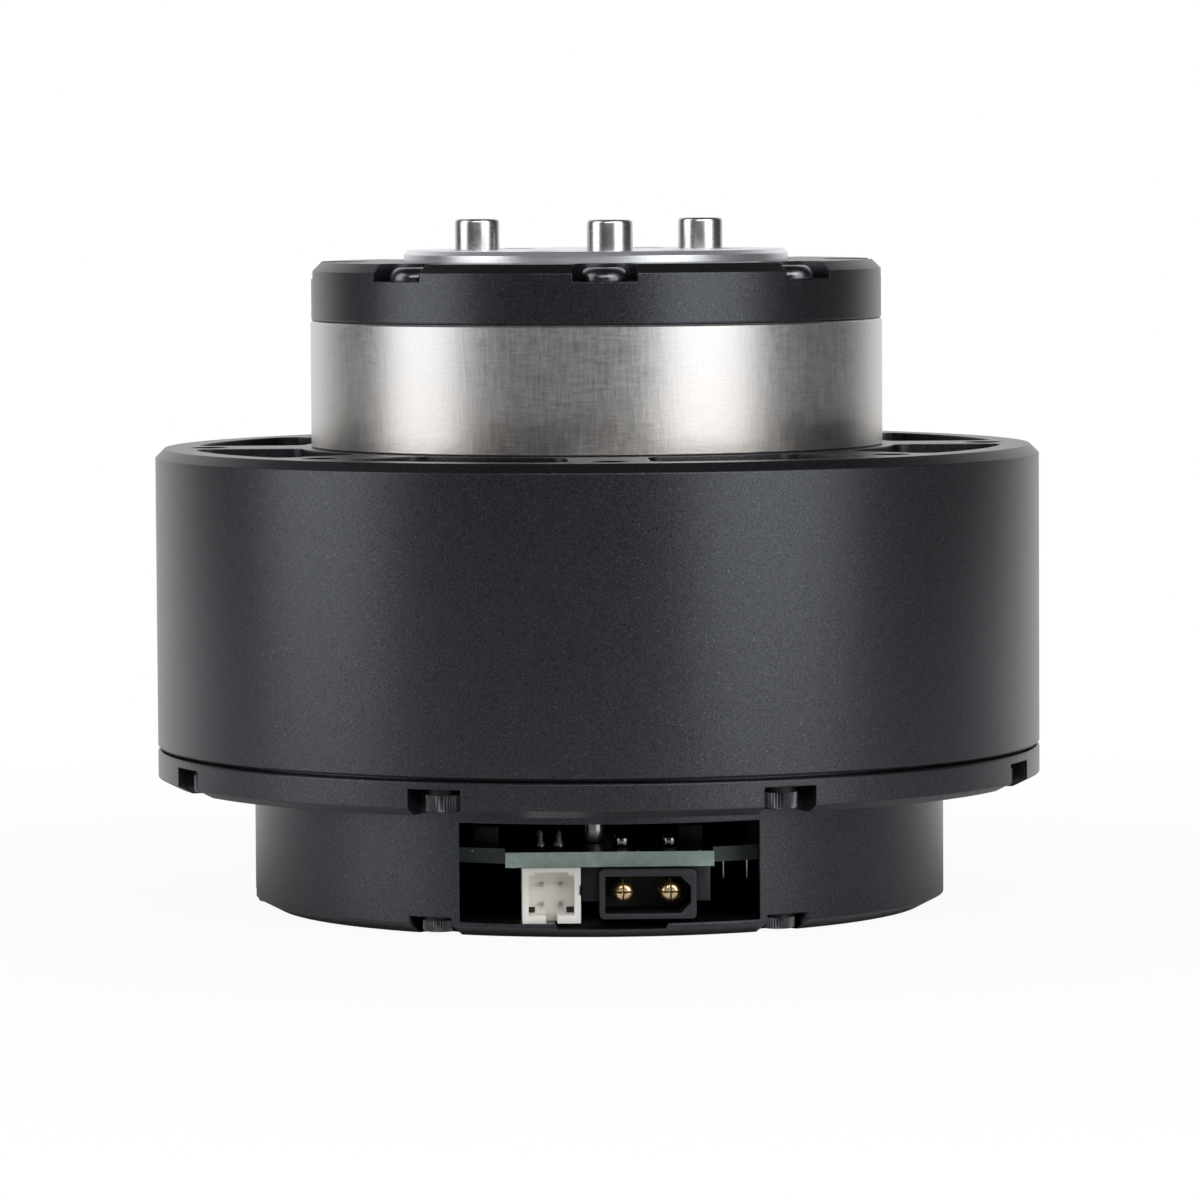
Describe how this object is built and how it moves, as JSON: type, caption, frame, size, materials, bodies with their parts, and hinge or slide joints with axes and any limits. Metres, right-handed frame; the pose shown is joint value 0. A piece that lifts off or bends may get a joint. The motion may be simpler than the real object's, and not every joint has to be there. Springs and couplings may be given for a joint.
{
  "type": "robot joint actuator",
  "caption": "Round robot joint actuator: outer-rotor motor in a black housing, planetary gearbox under a steel ring, output flange with dowel pins, and a servo drive in a rear cover.",
  "frame": {"origin": "centre of the rear face", "axes": "+Z along the output axis, from the rear cover to the output flange; the connector window faces -Y"},
  "size_m": [0.098, 0.098, 0.076],
  "materials": {
    "black_anodised": "bead-blasted and anodised matt black",
    "ring_steel": "fine turned steel, bare",
    "flange_aluminium": "turned, clear anodised",
    "dowel_steel": "ground and polished hardened steel",
    "screw_black": "black-oxide socket screws",
    "screw_steel": "plain stainless screws",
    "board_laminate": "grey-green glass laminate",
    "connector_white": "off-white nylon",
    "connector_black": "black nylon",
    "chip_plastic": "black moulding compound",
    "contact_gold": "gold-plated contacts",
    "pin_tin": "tin-plated square pins",
    "can_aluminium": "drawn aluminium can",
    "lead_insulation": "silicone-insulated wire",
    "lamination_steel": "stacked electrical steel",
    "copper_wire": "enamelled copper wire",
    "magnet_nickel": "nickel-plated magnets",
    "bell_steel": "zinc-plated steel",
    "shaft_steel": "turned steel",
    "bearing_steel": "ground bearing steel",
    "gear_steel": "hardened gear steel",
    "bronze": "sintered bronze",
    "spring_steel": "phosphated spring steel",
    "seal_rubber": "nitrile rubber"
  },
  "bodies": {
    "housing": {"motor_housing": "black_anodised", "rear_cover": "black_anodised", "driver_cover": "black_anodised", "front_cap": "black_anodised", "rear_cover_screws": "screw_black", "driver_cover_screws": "screw_black", "front_cap_screws": "screw_steel", "stator_core": "lamination_steel", "stator_windings": "copper_wire", "phase_leads": "lead_insulation", "bearing_circlip": "spring_steel", "rear_bearing_outer_race": "bearing_steel", "front_bearing_outer_race": "bearing_steel", "ring_gear": "ring_steel", "output_bearing_outer_race": "bearing_steel", "output_seal": "seal_rubber", "driver_board": "board_laminate", "board_standoffs": "screw_steel", "board_screws": "screw_steel", "power_transistors": "chip_plastic", "controller_chip": "chip_plastic", "encoder_chip": "chip_plastic", "capacitors": "can_aluminium", "service_pins": "pin_tin", "signal_connector": "connector_white", "signal_pins": "pin_tin", "power_connector": "connector_black", "power_contacts": "contact_gold"},
    "rotor": {"rotor_bell": "bell_steel", "rotor_magnets": "magnet_nickel", "rotor_shaft": "shaft_steel", "rotor_screws": "screw_steel", "sun_gear": "gear_steel", "encoder_magnet": "magnet_nickel", "rear_bearing_inner_race": "bearing_steel", "front_bearing_inner_race": "bearing_steel"},
    "output": {"output_flange": "flange_aluminium", "output_dowels": "dowel_steel", "planet_carrier": "shaft_steel", "planet_pins": "bearing_steel", "carrier_screws": "screw_black", "carrier_bush": "bronze", "output_bearing_inner_race": "bearing_steel"},
    "planet_1": {"planet_gear_1": "gear_steel", "planet_bush_1": "bronze"},
    "planet_2": {"planet_gear_2": "gear_steel", "planet_bush_2": "bronze"},
    "planet_3": {"planet_gear_3": "gear_steel", "planet_bush_3": "bronze"},
    "rotor_balls": {"rear_bearing_balls": "bearing_steel", "front_bearing_balls": "bearing_steel"},
    "output_balls": {"output_bearing_balls": "bearing_steel"}
  },
  "joints": [
    {"name": "output_spin", "type": "hinge", "parent": "housing", "child": "output", "pos_m": [0, 0, 0.0726], "axis": [0, 0, 1], "continuous": true},
    {"name": "rotor_spin", "type": "hinge", "parent": "housing", "child": "rotor", "pos_m": [0, 0, 0.0416], "axis": [0, 0, 1], "continuous": true},
    {"name": "planet_1_spin", "type": "hinge", "parent": "output", "child": "planet_1", "pos_m": [0.01298, -0.00624, 0.0551], "axis": [0, 0, 1], "continuous": true},
    {"name": "planet_2_spin", "type": "hinge", "parent": "output", "child": "planet_2", "pos_m": [-0.00108, 0.01436, 0.0551], "axis": [0, 0, 1], "continuous": true},
    {"name": "planet_3_spin", "type": "hinge", "parent": "output", "child": "planet_3", "pos_m": [-0.0119, -0.00812, 0.0551], "axis": [0, 0, 1], "continuous": true},
    {"name": "rotor_balls_spin", "type": "hinge", "parent": "housing", "child": "rotor_balls", "pos_m": [0, 0, 0.0381], "axis": [0, 0, 1], "continuous": true},
    {"name": "output_balls_spin", "type": "hinge", "parent": "housing", "child": "output_balls", "pos_m": [0, 0, 0.0654], "axis": [0, 0, 1], "continuous": true}
  ],
  "couplings": [
    {"joint": "rotor_spin", "follows": "output_spin", "ratio": 6},
    {"joint": "planet_1_spin", "follows": "output_spin", "ratio": -2.5},
    {"joint": "planet_2_spin", "follows": "output_spin", "ratio": -2.5},
    {"joint": "planet_3_spin", "follows": "output_spin", "ratio": -2.5},
    {"joint": "rotor_balls_spin", "follows": "output_spin", "ratio": 2.7333},
    {"joint": "output_balls_spin", "follows": "output_spin", "ratio": 0.4652}
  ]
}
